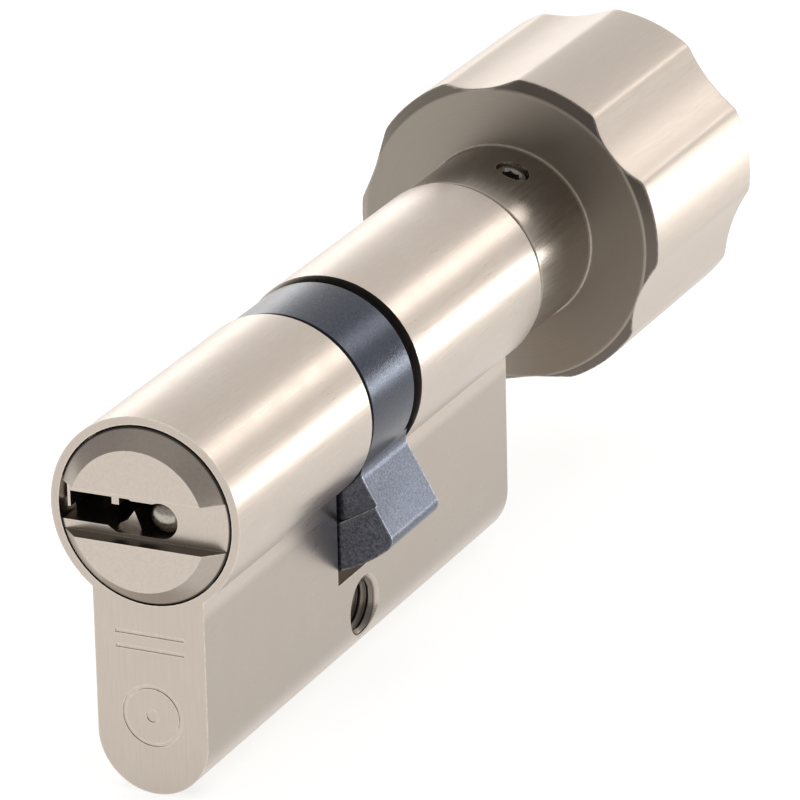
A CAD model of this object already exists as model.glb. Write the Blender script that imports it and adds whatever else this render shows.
"""Euro profile lock cylinder: a keyed plug at one end, a fluted turning knob at the other."""

import math

import bmesh  # noqa: E402
import bpy  # noqa: E402
import numpy as np  # noqa: E402
from mathutils import Matrix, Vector  # noqa: E402


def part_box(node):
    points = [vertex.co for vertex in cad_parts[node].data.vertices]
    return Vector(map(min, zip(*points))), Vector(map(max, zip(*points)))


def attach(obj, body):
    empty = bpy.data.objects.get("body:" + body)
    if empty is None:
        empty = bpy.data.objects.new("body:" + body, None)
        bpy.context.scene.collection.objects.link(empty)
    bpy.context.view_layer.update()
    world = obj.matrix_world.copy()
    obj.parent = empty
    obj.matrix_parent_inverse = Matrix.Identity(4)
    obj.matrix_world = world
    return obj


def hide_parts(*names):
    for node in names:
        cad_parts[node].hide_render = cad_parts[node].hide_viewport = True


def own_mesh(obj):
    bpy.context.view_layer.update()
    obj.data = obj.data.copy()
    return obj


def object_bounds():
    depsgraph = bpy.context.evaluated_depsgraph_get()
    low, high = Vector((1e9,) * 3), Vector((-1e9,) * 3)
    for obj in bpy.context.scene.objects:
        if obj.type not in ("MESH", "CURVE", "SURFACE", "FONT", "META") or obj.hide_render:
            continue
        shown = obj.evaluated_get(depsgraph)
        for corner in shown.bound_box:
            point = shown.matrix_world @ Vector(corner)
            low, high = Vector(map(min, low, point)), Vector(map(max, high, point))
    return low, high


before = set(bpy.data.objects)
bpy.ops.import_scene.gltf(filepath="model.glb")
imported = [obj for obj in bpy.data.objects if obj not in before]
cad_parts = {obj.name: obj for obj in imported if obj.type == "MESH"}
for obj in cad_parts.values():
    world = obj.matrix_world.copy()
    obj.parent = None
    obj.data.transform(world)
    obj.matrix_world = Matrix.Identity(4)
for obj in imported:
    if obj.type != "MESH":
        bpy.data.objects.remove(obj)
cad_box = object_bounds()


# ---------------------------------------------------------------- Camera
# A long lens, three quarters from the key side and a little above.
camera_place = (0.22544, -0.46040, 0.21754)
right = (0.9081173, 0.4181658, -0.0214560)
down = (0.1336720, -0.3380900, -0.9315723)
ahead = (-0.3968057, 0.8431088, -0.3629224)


def placing(x_axis, y_axis, z_axis, place):
    """The matrix whose columns are an object's three axes and its place."""
    rows = np.array([x_axis, y_axis, z_axis, place], dtype=float).T
    return Matrix([*rows.tolist(), [0, 0, 0, 1]])


camera_data = bpy.data.cameras.new("camera")
camera_data.sensor_width = 36.0
camera_data.lens = 293.996
camera_data.clip_start, camera_data.clip_end = 0.05, 20.0
camera = bpy.data.objects.new("camera", camera_data)
camera.matrix_world = placing(right, np.negative(down), np.negative(ahead), camera_place)
bpy.context.scene.collection.objects.link(camera)
bpy.context.scene.camera = camera
bpy.context.scene.view_settings.view_transform = "Standard"


# ---------------------------------------------------------------- Housing
# One machined brass body, drawn to the 17 mm profile, milled for the cam, drilled, and
# plated in satin nickel. Brushed along its length, and up and down on its end faces.
MM = 0.001
HOUSING_ROLL = 0.09  # mm asked for; the overlap guard leaves far less of it on this body
HOUSING_RUB = 0.22  # mm, reach of the rubbed look beside an edge
THREAD_CORE, THREAD_MAJOR = 2.1, 2.45  # mm, radii of the M5 thread in the fixing hole
NICKEL_DARK, NICKEL_LIGHT = (0.518, 0.455, 0.400, 1), (0.573, 0.506, 0.447, 1)
NICKEL_CLOUD, NICKEL_RUBBED = (0.528, 0.457, 0.397, 1), (0.72, 0.67, 0.60, 1)
FLANGE_SIDE, HOLE_DIRT = (0.335, 0.298, 0.260, 1), (0.10, 0.085, 0.07, 1)
LENGTHWAYS, UPRIGHT = (5200, 260, 5200), (5200, 2000, 260)  # brush lines per metre by axis
FLANGE_TOP = (11.2 * MM, 10.4 * MM)  # heights between which the flange's side tone sets in
HOLE_EDGE = (2.62 * MM, 2.5 * MM)  # radii between which the fixing hole's dirt sets in


def softened(cad_name, name, body, width, material, reshape=None):
    """The shape of a CAD node with doubled points merged and flat triangles joined into whole
    faces. A bevel of the given width in mm, cut short where it would overlap, takes the edges
    that are sharper than 28 degrees."""
    sharp = math.radians(28)
    bm = bmesh.new()
    bm.from_mesh(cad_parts[cad_name].data)
    bmesh.ops.remove_doubles(bm, verts=bm.verts, dist=1e-6)
    bmesh.ops.dissolve_degenerate(bm, edges=bm.edges, dist=1e-6)
    bmesh.ops.dissolve_limit(
        bm, angle_limit=math.radians(0.15), verts=bm.verts, edges=bm.edges
    )
    points = np.array([v.co[:] for v in bm.verts])
    if reshape:
        points = reshape(points)
    bm.verts.index_update()
    faces = [[v.index for v in f.verts] for f in bm.faces]
    bm.free()
    mesh = bpy.data.meshes.new(name)
    mesh.from_pydata(points, [], faces)
    mesh.shade_smooth()
    mesh.set_sharp_from_angle(angle=sharp)
    mesh.materials.append(material)
    piece = bpy.data.objects.new(name, mesh)
    bpy.context.scene.collection.objects.link(piece)
    roll = piece.modifiers.new("rolled_edges", "BEVEL")
    roll.width = width * MM
    roll.segments = 2
    roll.limit_method = "ANGLE"
    roll.angle_limit = sharp
    roll.use_clamp_overlap = True
    roll.harden_normals = True
    roll.miter_outer = "MITER_ARC"
    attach(piece, body)
    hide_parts(cad_name)


FLOAT, VECTOR = "NodeSocketFloat", "NodeSocketVector"


def new_group(name, inputs, outputs):
    """An empty shader group with the given float or vector inputs and outputs."""
    group = bpy.data.node_groups.new(name, "ShaderNodeTree")
    for label, kind, value in inputs:
        socket = group.interface.new_socket(label, in_out="INPUT", socket_type=kind)
        if value is not None:
            socket.default_value = value
    for label, kind in outputs:
        group.interface.new_socket(label, in_out="OUTPUT", socket_type=kind)
    return group, group.nodes.new("NodeGroupInput"), group.nodes.new("NodeGroupOutput")


def node(tree, kind, links=(), **settings):
    """A shader node with its properties set, and its inputs set or linked by name or number."""
    made = tree.nodes.new(kind)
    for key, value in settings.items():
        setattr(made, key, value)
    for key, value in dict(links).items():
        if isinstance(value, bpy.types.NodeSocket):
            tree.links.new(value, made.inputs[key])
        else:
            made.inputs[key].default_value = value
    return made


def ramp(tree, value, start, end, low=0.0, high=1.0, **settings):
    """A value carried from the range start to end onto low to high, and held beyond it."""
    links = {"Value": value, "From Min": start, "From Max": end, "To Min": low, "To Max": high}
    return node(tree, "ShaderNodeMapRange", links, clamp=True, **settings).outputs["Result"]


def worked(tree, operation, first, second):
    """Two numbers added, subtracted or multiplied."""
    return node(tree, "ShaderNodeMath", {0: first, 1: second}, operation=operation).outputs[0]


def mottle(tree, place, scale, detail, roughness=0.5):
    """Noise about 0.5 with so many lumps to the metre."""
    links = {"Vector": place, "Scale": scale, "Detail": detail, "Roughness": roughness}
    return node(tree, "ShaderNodeTexNoise", links).outputs["Fac"]


def make_brush_lines():
    """Fine parallel scratches: noise stretched by Stretch, in lines per metre on each axis,
    with a second, coarser layer for the broad cloudy tone of a hand-brushed surface."""
    group, given, result = new_group(
        "brush_lines",
        [("Vector", VECTOR, None), ("Stretch", VECTOR, (9000, 300, 9000))],
        [("Lines", FLOAT), ("Cloud", FLOAT)],
    )
    place = given.outputs["Vector"]
    links = {0: place, 1: given.outputs["Stretch"]}
    stretched = node(group, "ShaderNodeVectorMath", links, operation="MULTIPLY").outputs[0]
    lines = mottle(group, stretched, scale=1.0, detail=3.0, roughness=0.65)
    cloud = mottle(group, place, scale=320.0, detail=3.0, roughness=0.55)
    group.links.new(lines, result.inputs["Lines"])
    group.links.new(cloud, result.inputs["Cloud"])
    return group


def make_worn_edges():
    """How far the rounded normal within Radius leans away from the true one, broken up by
    noise: 1 on rubbed outside and inside edges, 0 on open faces."""
    group, given, result = new_group(
        "worn_edges",
        [("Vector", VECTOR, None), ("Radius", FLOAT, 0.00025), ("Breakup", FLOAT, 2500.0)],
        [("Wear", FLOAT)],
    )
    soft = node(group, "ShaderNodeBevel", {"Radius": given.outputs["Radius"]}, samples=4)
    true = node(group, "ShaderNodeNewGeometry")
    links = {0: soft.outputs["Normal"], 1: true.outputs["Normal"]}
    lean = node(group, "ShaderNodeVectorMath", links, operation="DOT_PRODUCT").outputs["Value"]
    amount = ramp(group, lean, 0.995, 0.85)
    chips = mottle(group, given.outputs["Vector"], given.outputs["Breakup"], detail=2.0)
    kept = ramp(group, chips, 0.35, 0.6, low=0.25)
    group.links.new(worked(group, "MULTIPLY", amount, kept), result.inputs["Wear"])
    return group


brush_lines = make_brush_lines()
worn_edges = make_worn_edges()


def brushed(tree, place, stretch):
    """The outputs of the brush lines group, placed in a material."""
    links = {"Vector": place, "Stretch": stretch}
    return node(tree, "ShaderNodeGroup", links, node_tree=brush_lines).outputs


def edge_wear(tree, place, radius):
    """The worn edges mask, placed in a material, reaching the radius in mm from an edge."""
    links = {"Vector": place, "Radius": radius * MM}
    return node(tree, "ShaderNodeGroup", links, node_tree=worn_edges).outputs["Wear"]


def blank_metal(name, roughness):
    """An all-metal material, its tree, its shader and the Object coordinates."""
    material = bpy.data.materials.new(name)
    material.use_nodes = True
    tree = material.node_tree
    tree.nodes.clear()
    links = {"Metallic": 1.0, "Roughness": roughness, "Anisotropic": 0.0}
    shader = node(tree, "ShaderNodeBsdfPrincipled", links)
    node(tree, "ShaderNodeOutputMaterial", {"Surface": shader.outputs["BSDF"]})
    place = node(tree, "ShaderNodeTexCoord").outputs["Object"]
    return material, tree, shader, place


def dressed(tree, shader, tone, rough, height, strength, depth):
    """Joins the tone, the roughness and a relief of so many mm to a metal's shader."""
    tree.links.new(tone, shader.inputs["Base Color"])
    tree.links.new(rough, shader.inputs["Roughness"])
    links = {"Strength": strength, "Distance": depth * MM, "Height": height}
    relief = node(tree, "ShaderNodeBump", links).outputs["Normal"]
    tree.links.new(relief, shader.inputs["Normal"])


def spread(tree, value, low=0.0, high=1.0):
    """Carries the middle of a noise, 0.3 to 0.7, onto the range from low to high."""
    return ramp(tree, value, 0.3, 0.7, low, high)


def colour_mix(tree, factor, first, second):
    """The colour output of a mix of two colours, each given as a colour or as a socket."""
    mix = tree.nodes.new("ShaderNodeMix")
    mix.data_type = "RGBA"
    sockets = {s.identifier: s for s in mix.inputs}
    for label, value in (
        ("Factor_Float", factor),
        ("A_Color", first),
        ("B_Color", second),
    ):
        if isinstance(value, bpy.types.NodeSocket):
            tree.links.new(value, sockets[label])
        else:
            sockets[label].default_value = value
    return next(s for s in mix.outputs if s.identifier == "Result_Color")


def number_mix(tree, factor, first, second):
    """A number between two numbers, each given as a value or as a socket."""
    links = {0: factor, 2: first, 3: second}
    return node(tree, "ShaderNodeMix", links, data_type="FLOAT").outputs[0]


def split(tree, vector):
    """The X, Y and Z of a vector, by name."""
    return node(tree, "ShaderNodeSeparateXYZ", {0: vector}).outputs


def facing(tree, axis, low, high):
    """A mask that is 1 where the surface faces along an axis, either way."""
    normal = node(tree, "ShaderNodeNewGeometry").outputs["Normal"]
    part = split(tree, normal)[axis]
    size = node(tree, "ShaderNodeMath", {0: part}, operation="ABSOLUTE").outputs[0]
    return ramp(tree, size, low, high)


def length_of(tree, first, second):
    """The length of a flat vector from its two parts."""
    flat = node(tree, "ShaderNodeCombineXYZ", {"X": first, "Y": second, "Z": 0.0}).outputs[0]
    return node(tree, "ShaderNodeVectorMath", {0: flat}, operation="LENGTH").outputs["Value"]


nickel, tree, shader, place = blank_metal("satin_nickel", 0.27)
along = brushed(tree, place, LENGTHWAYS)
upright = brushed(tree, place, UPRIGHT)
end_face = facing(tree, "Y", 0.7, 0.95)
lines = number_mix(tree, end_face, along["Lines"], upright["Lines"])
tone = colour_mix(tree, spread(tree, lines), NICKEL_DARK, NICKEL_LIGHT)
tone = colour_mix(tree, spread(tree, along["Cloud"], high=0.35), tone, NICKEL_CLOUD)
parts = split(tree, place)
below = ramp(tree, parts["Z"], *FLANGE_TOP, high=0.55)
flat_side = worked(tree, "MULTIPLY", facing(tree, "X", 0.9, 0.99), below)
tone = colour_mix(tree, flat_side, tone, FLANGE_SIDE)
tone = colour_mix(tree, edge_wear(tree, place, HOUSING_RUB), tone, NICKEL_RUBBED)
in_hole = ramp(tree, length_of(tree, parts["Y"], parts["Z"]), *HOLE_EDGE, high=0.8)
tone = colour_mix(tree, in_hole, tone, HOLE_DIRT)
cloudy = spread(tree, along["Cloud"], -0.015, 0.02)
rough = worked(tree, "ADD", spread(tree, lines, 0.27, 0.33), cloudy)
dressed(tree, shader, tone, rough, lines, strength=0.04, depth=0.02)


def opened_hole(points):
    """Points of the fixing hole's plain wall, known by their radius and their distance along
    the hole, moved out to just past the thread's major radius."""
    half_length, clearance, close = 4.3 * MM, 0.04, 2e-5
    radius = np.hypot(points[:, 1], points[:, 2])
    wall = (np.abs(radius - THREAD_CORE * MM) < close) & (np.abs(points[:, 0]) < half_length)
    scale = np.where(wall, (THREAD_MAJOR + clearance) * MM / np.maximum(radius, 1e-9), 1.0)
    return points * np.stack([np.ones_like(scale), scale, scale], -1)


softened(
    "housing", "housing_body", "housing", HOUSING_ROLL, nickel, opened_hole
)


# ---------------------------------------------------------------- Thread of the fixing hole
# The M5 thread that takes the lock's fixing screw. It is tapped through the brass flange at
# 0.8 mm pitch, cut back by a countersink on each side, and plated with the body.
PITCH = 0.8  # mm
FLANGE_HALF, ROUND_FROM = 5.0, 0.5  # mm, half the flange, and how far down its round begins
THREAD_HALF, THREAD_INSET = 4.93, 0.05  # mm, half its length, and its distance from the round
CONE_START = 4.25  # mm from the middle, where the countersinks begin


def grid_faces(rows, columns, wrap_rows):
    """Quads between neighbouring points of a grid closed round its columns, as an array of
    four indices each."""
    i = np.arange(rows if wrap_rows else rows - 1)
    i, j = np.meshgrid(i, np.arange(columns), indexing="ij")
    i2, j2 = (i + 1) % rows, (j + 1) % columns
    quad = [i * columns + j, i * columns + j2, i2 * columns + j2, i2 * columns + j]
    return np.stack(quad, -1).reshape(-1, 4)


def skin(name, grid, body, material, replaced=(), smooth=30, wrap_rows=False):
    """A mesh from a grid of points in mm, closed round its columns. Points that fall together
    at a pole or a seam are merged and every face is turned outwards."""
    rows, columns = grid.shape[:2]
    faces = grid_faces(rows, columns, wrap_rows)
    mesh = bpy.data.meshes.new(name)
    mesh.from_pydata(grid.reshape(-1, 3) * MM, [], faces.tolist())
    bm = bmesh.new()
    bm.from_mesh(mesh)
    bmesh.ops.remove_doubles(bm, verts=bm.verts, dist=2e-7)
    bmesh.ops.recalc_face_normals(bm, faces=bm.faces)
    bm.to_mesh(mesh)
    bm.free()
    mesh.shade_smooth()
    mesh.set_sharp_from_angle(angle=math.radians(smooth))
    mesh.materials.append(material)
    piece = bpy.data.objects.new(name, mesh)
    bpy.context.scene.collection.objects.link(piece)
    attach(piece, body)
    if replaced:
        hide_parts(*replaced)
    return piece


def fixing_thread():
    """Radius by distance along the hole and angle: a rounded vee that climbs one pitch a
    turn, never smaller than the countersink's cone, with a plain wall behind it."""
    crest, flank = 0.06, 0.80  # shares of the half pitch
    cone_gap, wall_gap, outside = 0.02, 0.06, THREAD_MAJOR + 0.2
    turn = np.linspace(0, 2 * np.pi, 72, endpoint=False)[None, :]
    t = np.linspace(-1, 1, 241)[:, None]
    depth = np.clip(-outside * np.sin(turn) - ROUND_FROM, 0, None)
    x = t * np.minimum(THREAD_HALF, np.sqrt(FLANGE_HALF**2 - depth**2) - THREAD_INSET)
    phase = (x / PITCH - turn / (2 * np.pi)) % 1.0
    profile = np.clip((np.abs(2 * phase - 1) - crest) / flank, 0, 1)
    radius = THREAD_CORE + (THREAD_MAJOR - THREAD_CORE) * profile
    radius = np.maximum(radius, THREAD_CORE + cone_gap + (np.abs(x) - CONE_START))
    wall = np.full_like(radius, radius.max() + wall_gap)
    inner = np.stack([x, radius * np.cos(turn), radius * np.sin(turn)], -1)
    outer = np.stack([x, wall * np.cos(turn), wall * np.sin(turn)], -1)
    return np.concatenate([inner, outer[::-1]])


skin(
    "fixing_thread",
    fixing_thread(),
    "housing",
    nickel,
    smooth=50,
    wrap_rows=True,
)


# ---------------------------------------------------------------- Key plug
# Turned brass plug with a coned rim, a groove milled across its nose and a keyway, nickel
# plated. It turns in the housing's bore and is held from behind by a snap ring.
AXIS_Z = 19.0  # mm, height of the barrel's axis above the fixing hole
PLUG_ROLL, PLUG_RUB = 0.05, 0.18  # mm
PLUG_DARK, PLUG_LIGHT = (0.530, 0.468, 0.408, 1), (0.598, 0.531, 0.467, 1)
GROOVE_FLOOR, GROOVE_LIP = (0.48, 0.43, 0.375, 1), (0.19, 0.165, 0.14, 1)
CONE_SHADE, GRIME = (0.12, 0.105, 0.09, 1), (0.030, 0.024, 0.020, 1)
PLUG_BRUSH = (4200, 4200, 4200)  # marks per metre by axis
LIP = (-30.0 * MM, -30.04 * MM)  # where the groove's floor comes out past the housing's face
GAP = (7.46 * MM, 7.56 * MM)  # radii between which the dark gap round the plug sets in


def off_axis(tree, parts):
    """Distance of a place, given by its parts, from the barrel's axis."""
    return length_of(tree, parts["X"], worked(tree, "SUBTRACT", parts["Z"], AXIS_Z * MM))


plug_metal, tree, shader, place = blank_metal("plug_nickel", 0.3)
fine = brushed(tree, place, PLUG_BRUSH)["Lines"]
tone = colour_mix(tree, spread(tree, fine), PLUG_DARK, PLUG_LIGHT)
parts = split(tree, place)
floor_tone = colour_mix(tree, ramp(tree, parts["Y"], *LIP), GROOVE_FLOOR, GROOVE_LIP)
tone = colour_mix(tree, facing(tree, "Z", 0.75, 0.95), tone, floor_tone)
shady = colour_mix(tree, 0.32, tone, CONE_SHADE)
tone = colour_mix(tree, facing(tree, "Y", 0.93, 0.97), shady, tone)
tone = colour_mix(tree, edge_wear(tree, place, PLUG_RUB), tone, NICKEL_RUBBED)
grime = ramp(tree, off_axis(tree, parts), *GAP, high=0.93)
tone = colour_mix(tree, grime, tone, GRIME)
dressed(tree, shader, tone, spread(tree, fine, 0.27, 0.34), fine, strength=0.15, depth=0.01)
softened("key_plug", "plug_body", "plug", PLUG_ROLL, plug_metal)


# ---------------------------------------------------------------- Hardened pin in the plug
# A ground steel pin with a domed end, pressed into the plug at the round end of the keyway.
# It is there to turn a drill away.
PIN_RADIUS, DOME_RISE = 1.49, 1.1  # mm
PIN_DARK, PIN_LIGHT = (0.34, 0.31, 0.265, 1), (0.50, 0.47, 0.42, 1)


def domed_pin(centre_x, centre_z, front, length):
    """Radius by distance from the tip: a quarter ellipse for the dome, then a plain shank,
    carried round the pin's own axis."""
    turn = np.linspace(0, 2 * np.pi, 64, endpoint=False)[None, :]
    a = np.linspace(0, np.pi / 2, 16)
    r = np.concatenate([PIN_RADIUS * np.sin(a), [PIN_RADIUS, 0]])[:, None]
    dome = front + DOME_RISE * (1 - np.cos(a))
    y = np.concatenate([dome, [front + length] * 2])[:, None]
    return np.stack(
        [centre_x + r * np.cos(turn), y + 0 * turn, centre_z + r * np.sin(turn)], -1
    )


ground, tree, shader, place = blank_metal("ground_steel", 0.22)
scuffs = mottle(tree, place, scale=3500.0, detail=4.0, roughness=0.65)
tone = colour_mix(tree, spread(tree, scuffs), PIN_DARK, PIN_LIGHT)
rough = spread(tree, scuffs, 0.18, 0.30)
dressed(tree, shader, tone, rough, scuffs, strength=0.25, depth=0.01)
low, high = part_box("plug_drill_pin")
middle = (low + high) / 2
skin(
    "plug_pin_domed",
    domed_pin(middle[0] / MM, middle[2] / MM, low[1] / MM, (high[1] - low[1]) / MM),
    "plug",
    ground,
    ("plug_drill_pin",),
)


# ---------------------------------------------------------------- Cam
# Sintered steel ring with one bit, blued and a little grainy, rubbed bright on its edges. It
# turns in the housing's slot, and its rim towards the key side is dull and near black.
CAM_ROLL, CAM_RUB = 0.2, 0.3  # mm
BIT_DARK, BIT_LIGHT = (0.035, 0.040, 0.058, 1), (0.235, 0.255, 0.315, 1)
BIT_PATCH, BIT_RUBBED = (0.10, 0.112, 0.148, 1), (0.50, 0.52, 0.57, 1)
RING_DARK, RING_LIGHT = (0.022, 0.026, 0.038, 1), (0.070, 0.080, 0.106, 1)
RIM_BLACK = (0.012, 0.013, 0.017, 1)
RIM_EDGE = (-4.05 * MM, -4.25 * MM)  # where the ring's rim towards the key side begins
RING_EDGE = (8.6 * MM, 8.45 * MM)  # radii between which the bit gives way to the ring

blued, tree, shader, place = blank_metal("blued_steel", 0.4)
grain = mottle(tree, place, scale=5200.0, detail=4.0, roughness=0.7)
patches = mottle(tree, place, scale=500.0, detail=3.0, roughness=0.6)
tone = colour_mix(tree, spread(tree, grain), BIT_DARK, BIT_LIGHT)
tone = colour_mix(tree, spread(tree, patches, high=0.4), tone, BIT_PATCH)
tone = colour_mix(tree, edge_wear(tree, place, CAM_RUB), tone, BIT_RUBBED)
parts = split(tree, place)
on_ring = ramp(tree, off_axis(tree, parts), *RING_EDGE)
ring_tone = colour_mix(tree, spread(tree, grain), RING_DARK, RING_LIGHT)
tone = colour_mix(tree, on_ring, tone, ring_tone)
dull_rim = worked(tree, "MULTIPLY", ramp(tree, parts["Y"], *RIM_EDGE), on_ring)
tone = colour_mix(tree, dull_rim, tone, RIM_BLACK)
clean = worked(tree, "SUBTRACT", 1.0, dull_rim)
tree.links.new(clean, shader.inputs["Metallic"])
gloss = worked(tree, "MULTIPLY", clean, 0.5)
tree.links.new(gloss, shader.inputs["Specular IOR Level"])
bit_rough, ring_rough = spread(tree, grain, 0.28, 0.40), spread(tree, grain, 0.17, 0.25)
rough = number_mix(tree, on_ring, bit_rough, ring_rough)
dressed(tree, shader, tone, rough, grain, strength=0.5, depth=0.03)
softened("cam", "cam_ring_and_bit", "cam", CAM_ROLL, blued)


# ---------------------------------------------------------------- Knob
# Turned from one bar with its neck, six flutes milled down its side, front face left with
# the fine rings of the lathe, and plated like the housing.
NECK_R, NECK_START, FACE_Y, KNOB_END = 8.3, 30.35, 41.5, 64.5  # mm
LOBE_R, ROOT_R, FLUTE_R, LOBE_ANGLE, FLUTES = 14.5, 13.6, 14.0, 10.0, 6  # mm, degrees, count
BORE_R, BORE_END = 4.03, 50.3  # mm
HOLE_Y, HOLE_R, HOLE_BLOCK, HOLE_FLOOR = 37.1, 1.52, 2.1, 4.15  # mm, the grub screw's hole
KNOB_RUB = 0.3  # mm
FACE_DARK, FACE_LIGHT = (0.285, 0.252, 0.216, 1), (0.345, 0.305, 0.264, 1)
NECK_DARK, NECK_LIGHT = (0.300, 0.265, 0.228, 1), (0.350, 0.312, 0.272, 1)
CHAMFER_LIT, CHAMFER_SHADE = (0.31, 0.275, 0.235, 1), (0.135, 0.115, 0.098, 1)
CHAMFER_EDGE = (13.6 * MM, 13.7 * MM)  # radii between which the face's chamfer begins
CHAMFER_TURN = (-3.0 * MM, 1.5 * MM)  # places across the knob where the chamfer darkens
NECK_EDGE = (41.2 * MM, 41.0 * MM)  # where the neck's finish ends, short of the face


def arc(centre, radius, start, end, count):
    """Points (r, y) round part of a circle, from one angle in degrees to another."""
    a = np.radians(np.linspace(start, end, count))
    return np.stack([centre[0] + radius * np.cos(a), centre[1] + radius * np.sin(a)], -1)


def knob_surface(columns=1080):
    """A turned profile whose outer radius is the smaller of the bar's radius and the
    distance to the flute circles, blended over a small width, by angle about the axis."""
    blend = 0.10  # mm, width over which a flute runs into a lobe
    neck_round, squat, fillet = 0.5, 0.9, 0.15  # mm, with the round shortened along the axis
    edge, rear_round, soft = 0.12, 0.45, 0.05  # mm, of the head's front, back and chamfer
    turn = np.radians(np.linspace(0, 360, columns, endpoint=False))[None, :]
    step = 2 * np.pi / FLUTES
    off = (turn - math.radians(LOBE_ANGLE)) % step - step / 2  # from a flute's middle
    far = ROOT_R + FLUTE_R
    flute = far * np.cos(off) - np.sqrt(FLUTE_R**2 - (far * np.sin(off)) ** 2)
    outer = -blend * np.log(np.exp(-LOBE_R / blend) + np.exp(-flute / blend))
    corner = arc((NECK_R - neck_round, NECK_START + neck_round), neck_round, -90, 0, 7)
    neck = np.concatenate(
        [
            [(0, BORE_END), (BORE_R, BORE_END), (BORE_R, NECK_START)],
            [(NECK_R - neck_round, NECK_START)],
            corner * [1, squat] + [0, (1 - squat) * NECK_START],
            np.stack([np.full(86, NECK_R), np.linspace(31.0, FACE_Y - 2 * fillet, 86)], -1),
            arc((NECK_R + fillet, FACE_Y - fillet), fillet, 180, 90, 4),
        ]
    )
    neck_grid = np.repeat(neck[:, None, :], columns, 1)
    # the grub screw's hole: squares of the grid about its centre are drawn into circles
    on_neck = (neck[:, 0] == NECK_R)[:, None]
    u = (turn - math.radians(LOBE_ANGLE + 60)) * NECK_R / HOLE_BLOCK
    v = (neck[:, 1:2] - HOLE_Y) / HOLE_BLOCK
    ring = np.maximum(np.abs(u), np.abs(v))
    inside = on_neck & (ring < 1)
    rounder = ring / np.maximum(np.hypot(u, v), 1e-6)
    keep = np.clip((1 - ring) / 0.2, 0, 1)
    pull = np.where(inside, 1 + (rounder - 1) * keep, 1.0)
    hole = inside & (ring < HOLE_R / HOLE_BLOCK)
    neck_grid[..., 0] = np.where(hole, HOLE_FLOOR, neck_grid[..., 0])
    neck_grid[..., 1] = np.where(inside, HOLE_Y + v * pull * HOLE_BLOCK, neck_grid[..., 1])
    bent = np.where(inside, u * (pull - 1) * HOLE_BLOCK / NECK_R, 0.0)
    # front face out to the chamfer's start, then the chamfer out to the fluted edge
    t = np.linspace(0, 1, 40)[:, None]
    face_start = NECK_R + 0.2
    r = face_start + (outer - edge - face_start) * t
    rise = soft * np.log(1 + np.exp(np.clip((r - ROOT_R) / soft, -60, 60)))
    face = np.stack([r, FACE_Y + rise], -1)
    last = FACE_Y + rise[-1:]
    a = np.radians(np.linspace(15, 90, 5))[:, None]
    front = np.stack([outer - edge + edge * np.sin(a), last + edge * (1 - np.cos(a))], -1)
    s = np.linspace(0.02, 0.98, 34)[:, None]
    start = front[-1:, :, 1]
    side_y = start + (KNOB_END - rear_round - start) * s
    side = np.stack([np.broadcast_to(outer, side_y.shape), side_y], -1)
    b = np.radians(np.linspace(0, 90, 7))[:, None]
    rear = np.stack(
        [
            outer - rear_round + rear_round * np.cos(b),
            KNOB_END - rear_round + rear_round * np.sin(b) + 0 * outer,
        ],
        -1,
    )
    q = np.linspace(0.985, 0, 20)[:, None]
    back = np.stack([(outer - rear_round) * q, KNOB_END + 0 * outer * q], -1)
    rows = np.concatenate([neck_grid, face, front, side, rear, back])
    radius, y = rows[..., 0], rows[..., 1]
    angle = np.broadcast_to(turn, radius.shape).copy()
    angle[: len(neck)] += bent
    return np.stack([radius * np.cos(angle), y, AXIS_Z + radius * np.sin(angle)], -1)


knob_metal, tree, shader, place = blank_metal("knob_nickel", 0.27)
parts = split(tree, place)
from_axis = off_axis(tree, parts)
rings = node(
    tree,
    "ShaderNodeTexNoise",
    {"W": from_axis, "Scale": 13000.0, "Detail": 3.0, "Roughness": 0.7},
    noise_dimensions="1D",
).outputs["Fac"]
end_face = facing(tree, "Y", 0.55, 0.65)
lines = number_mix(tree, end_face, brushed(tree, place, LENGTHWAYS)["Lines"], rings)
tone = colour_mix(tree, spread(tree, lines), NICKEL_DARK, NICKEL_LIGHT)
face_tone = colour_mix(tree, spread(tree, rings), FACE_DARK, FACE_LIGHT)
across = ramp(tree, parts["X"], *CHAMFER_TURN)
chamfer_tone = colour_mix(tree, across, CHAMFER_LIT, CHAMFER_SHADE)
on_chamfer = ramp(tree, from_axis, *CHAMFER_EDGE)
face_tone = colour_mix(tree, on_chamfer, face_tone, chamfer_tone)
on_neck = ramp(tree, parts["Y"], *NECK_EDGE)
neck_tone = colour_mix(tree, spread(tree, lines), NECK_DARK, NECK_LIGHT)
tone = colour_mix(tree, on_neck, tone, neck_tone)
tone = colour_mix(tree, end_face, tone, face_tone)
tone = colour_mix(tree, edge_wear(tree, place, KNOB_RUB), tone, NICKEL_RUBBED)
head_rough, neck_rough = spread(tree, lines, 0.34, 0.42), spread(tree, lines, 0.20, 0.27)
rough = number_mix(tree, on_neck, head_rough, neck_rough)
dressed(tree, shader, tone, rough, lines, strength=0.18, depth=0.01)
skin(
    "knob_and_neck", knob_surface(), "knob", knob_metal, ("knob",), smooth=40
)


# ---------------------------------------------------------------- Springs
# Drawn steel wire, wound closed at the ends. Six stand under the driver pins, each on the
# plug of its chamber, and one lies behind the clutch in the knob's shaft.
DRIVER_COIL, DRIVER_WIRE, DRIVER_TURNS, DRIVER_DROP = 1.1, 0.18, 9, 1.6  # turns, else mm
CLUTCH_COIL, CLUTCH_WIRE, CLUTCH_TURNS, CLUTCH_SLIDE = 1.85, 0.22, 8, 3.0  # turns, else mm
INNER_RUB = 0.12  # mm


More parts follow.
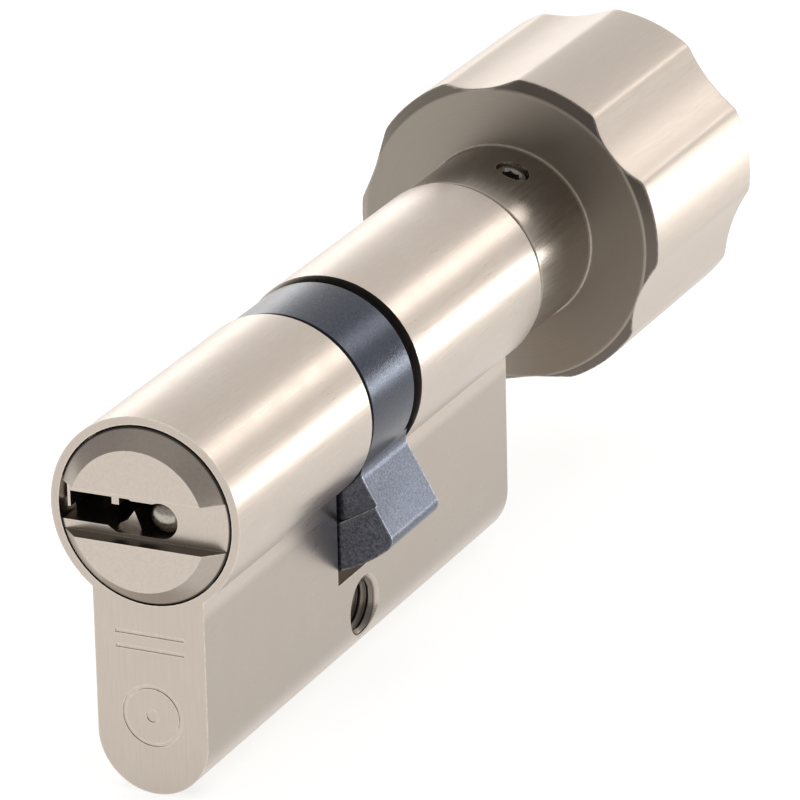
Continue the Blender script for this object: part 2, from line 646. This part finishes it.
def coil(radius, wire, length, turns, per_turn=28, sides=10):
    """A circle of the wire's radius carried along a helix whose pitch is small in the end
    turns and even between them, with both ends drawn in to a point."""
    closed, creep = 0.8, 0.1  # turns at each end, and the share of the climb they make
    t = np.linspace(0, turns, turns * per_turn + 1)
    climb = np.clip((t - closed) / (turns - 2 * closed), 0, 1)
    height = wire + (length - 2 * wire) * ((1 - creep) * climb + creep * t / turns)
    thick = np.full_like(t, wire)
    thick[[0, -1]] = 0.0
    turn = 2 * np.pi * t[:, None]
    around = np.linspace(0, 2 * np.pi, sides, endpoint=False)[None, :]
    out = radius + thick[:, None] * np.cos(around)
    up = height[:, None] + thick[:, None] * np.sin(around)
    return np.stack([out * np.cos(turn), out * np.sin(turn), up], -1)


def inner_metal(name, dark, light, roughness, stretch):
    """A metal with fine turned or drawn marks and rubbed edges, for the parts inside."""
    material, tree, shader, place = blank_metal(name, roughness)
    marks = brushed(tree, place, stretch)
    tone = colour_mix(tree, spread(tree, marks["Lines"]), dark, light)
    rubbed = tuple(min(1.0, 1.25 * c) for c in light[:3]) + (1,)
    tone = colour_mix(tree, edge_wear(tree, place, INNER_RUB), tone, rubbed)
    rough = spread(tree, marks["Cloud"], roughness - 0.05, roughness + 0.08)
    dressed(tree, shader, tone, rough, marks["Lines"], strength=0.25, depth=0.01)
    return material


wire_steel = inner_metal(
    "spring_steel",
    dark=(0.30, 0.30, 0.31, 1),
    light=(0.48, 0.48, 0.49, 1),
    roughness=0.28,
    stretch=(5000, 5000, 9000),
)
for k in range(1, 7):
    low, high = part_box(f"driver_spring_{k}")
    length = high[2] - low[2]
    shape = coil(DRIVER_COIL, DRIVER_WIRE, length / MM, DRIVER_TURNS)
    shape += [0.0, (low[1] + high[1]) / 2 / MM, low[2] / MM]
    spring = skin(
        f"coil_spring_{k}",
        shape,
        "housing",
        wire_steel,
        (f"driver_spring_{k}",),
    )
    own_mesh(spring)
low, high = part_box("clutch_spring")
length = high[1] - low[1]
shape = coil(CLUTCH_COIL, CLUTCH_WIRE, length / MM, CLUTCH_TURNS)
shape = np.stack([shape[..., 0], low[1] / MM + shape[..., 2], AXIS_Z + shape[..., 1]], -1)
clutch_spring = skin(
    "clutch_coil_spring", shape, "knob", wire_steel, ("clutch_spring",)
)
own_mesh(clutch_spring)


# ---------------------------------------------------------------- Grub screw
# M3 set screw of blackened steel, worn to a dark grey, with a hexagon socket. It clamps the
# knob's neck to the shaft.
SCREW_ROLL = 0.05  # mm
black = inner_metal(
    "black_steel",
    dark=(0.24, 0.218, 0.195, 1),
    light=(0.36, 0.33, 0.30, 1),
    roughness=0.3,
    stretch=(6000, 6000, 6000),
)
softened("grub_screw", "set_screw", "knob", SCREW_ROLL, black)


# ---------------------------------------------------------------- Pins, clutch, shaft and trim
# The turned brass and steel parts inside the lock, left in the shapes they are machined to.
# Marks run round the pins and the shaft, along the drill pins, and evenly over the rest.
pin_brass = inner_metal(
    "pin_brass",
    dark=(0.62, 0.44, 0.20, 1),
    light=(0.78, 0.60, 0.33, 1),
    roughness=0.22,
    stretch=(900, 900, 14000),
)
pin_silver = inner_metal(
    "pin_nickel_silver",
    dark=(0.50, 0.48, 0.43, 1),
    light=(0.66, 0.64, 0.59, 1),
    roughness=0.22,
    stretch=(900, 900, 14000),
)
cast_brass = inner_metal(
    "brass",
    dark=(0.60, 0.43, 0.21, 1),
    light=(0.76, 0.58, 0.33, 1),
    roughness=0.3,
    stretch=(5000, 5000, 5000),
)
turned_steel = inner_metal(
    "turned_steel",
    dark=(0.40, 0.39, 0.375, 1),
    light=(0.58, 0.57, 0.55, 1),
    roughness=0.25,
    stretch=(900, 12000, 900),
)
hard_steel = inner_metal(
    "hardened_steel",
    dark=(0.30, 0.29, 0.28, 1),
    light=(0.46, 0.45, 0.43, 1),
    roughness=0.22,
    stretch=(6000, 6000, 900),
)
bronze = inner_metal(
    "bronze",
    dark=(0.45, 0.28, 0.14, 1),
    light=(0.60, 0.41, 0.24, 1),
    roughness=0.3,
    stretch=(7000, 7000, 7000),
)
finish_of = {
    "chamber_plugs": cast_brass,
    "drill_pins": hard_steel,
    "plug_clip": wire_steel,
    "shaft_clip": wire_steel,
    "key_clutch": cast_brass,
    "turn_clutch": cast_brass,
    "knob_shaft": turned_steel,
    "thrust_washer": bronze,
}
for k in range(1, 7):
    finish_of[f"key_pin_{k}"] = pin_brass
    finish_of[f"driver_pin_{k}"] = pin_silver
for cad_name, finish in finish_of.items():
    cad_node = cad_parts[cad_name]
    if not cad_node.material_slots:
        cad_node.data.materials.append(finish)
    for holder in cad_node.material_slots:
        holder.material = finish


# ---------------------------------------------------------------- Floor and light
# A lit white table under the lock, and surroundings that are brightest behind it. Three
# lights draw the long highlights, and a wide one overhead lights the table.
PAPER, PAPER_GLOW, PAPER_STRENGTH = (0.30, 0.297, 0.292, 1), (1.0, 0.995, 0.985, 1), 0.80
FRONT_GLOW, BACK_GLOW = (0.45, 0.44, 0.43, 1), (1.02, 1.0, 0.98, 1)
TOP_GLOW = (0.56, 0.55, 0.54, 1)
FLOOR_HALF, FLOOR_GAP = 4, 0.00002  # m
floor_z = cad_box[0][2] - FLOOR_GAP
floor_mesh = bpy.data.meshes.new("floor")
corners = ((-1, -1), (1, -1), (1, 1), (-1, 1))
floor_mesh.from_pydata(
    [(x * FLOOR_HALF, y * FLOOR_HALF, floor_z) for x, y in corners], [], [(0, 1, 2, 3)]
)
floor = bpy.data.objects.new("floor", floor_mesh)
bpy.context.scene.collection.objects.link(floor)
paper = bpy.data.materials.new("pale_paper")
paper.use_nodes = True
paper_shader = paper.node_tree.nodes["Principled BSDF"]
paper_shader.inputs["Base Color"].default_value = PAPER
paper_shader.inputs["Emission Color"].default_value = PAPER_GLOW
paper_shader.inputs["Emission Strength"].default_value = PAPER_STRENGTH
paper_shader.inputs["Roughness"].default_value = 0.85
floor_mesh.materials.append(paper)

world = bpy.data.worlds.new("studio")
bpy.context.scene.world = world
world.use_nodes = True
sky = world.node_tree
background = sky.nodes["Background"]
toward = split(sky, node(sky, "ShaderNodeTexCoord").outputs["Generated"])
behind = ramp(sky, toward["Y"], 0.0, 0.75, interpolation_type="SMOOTHSTEP")
high_up = ramp(sky, toward["Z"], 0.55, 0.95, interpolation_type="SMOOTHSTEP")
glow = colour_mix(sky, behind, FRONT_GLOW, BACK_GLOW)
glow = colour_mix(sky, high_up, glow, TOP_GLOW)
sky.links.new(glow, background.inputs["Color"])
background.inputs["Strength"].default_value = 1.0


def softbox(name, target, azimuth, elevation, distance, width, height, strength, colour):
    """A rectangular light aimed at the target from a compass angle (0 is +Y, 90 is +X) and a
    height angle, in degrees, so many metres away."""
    a, e = math.radians(azimuth), math.radians(elevation)
    back = np.array([math.sin(a) * math.cos(e), math.cos(a) * math.cos(e), math.sin(e)])
    light = bpy.data.lights.new(name, "AREA")
    light.shape = "RECTANGLE"
    light.size, light.size_y = width, height
    light.energy = strength
    light.color = colour
    lamp = bpy.data.objects.new(name, light)
    side = np.cross([0, 0, 1.0], back)
    side /= np.linalg.norm(side)
    up = np.cross(back, side)
    lamp.matrix_world = placing(side, up, back, np.array(target) + back * distance)
    bpy.context.scene.collection.objects.link(lamp)
    lamp.visible_camera = False
    return lamp


lock_middle = (0.0, 0.015, 0.012)
softbox(
    "strip",
    lock_middle,
    azimuth=21,
    elevation=23.5,
    distance=1.2,
    width=0.16,
    height=0.26,
    strength=0.50,
    colour=(1.0, 0.96, 0.92),
)
softbox(
    "low_left",
    lock_middle,
    azimuth=-33,
    elevation=9,
    distance=1.5,
    width=0.8,
    height=0.40,
    strength=1.4,
    colour=(1.0, 0.98, 0.96),
)
softbox(
    "near_right",
    (0.008, 0.008, 0.021),
    azimuth=32,
    elevation=-3.7,
    distance=0.26,
    width=0.09,
    height=0.034,
    strength=0.085,
    colour=(1.0, 1.0, 0.98),
)
above_table = softbox(
    "above_table",
    lock_middle,
    azimuth=0,
    elevation=80,
    distance=2.0,
    width=2.4,
    height=2.4,
    strength=24.0,
    colour=(1.0, 1.0, 1.0),
)
above_table.visible_glossy = False
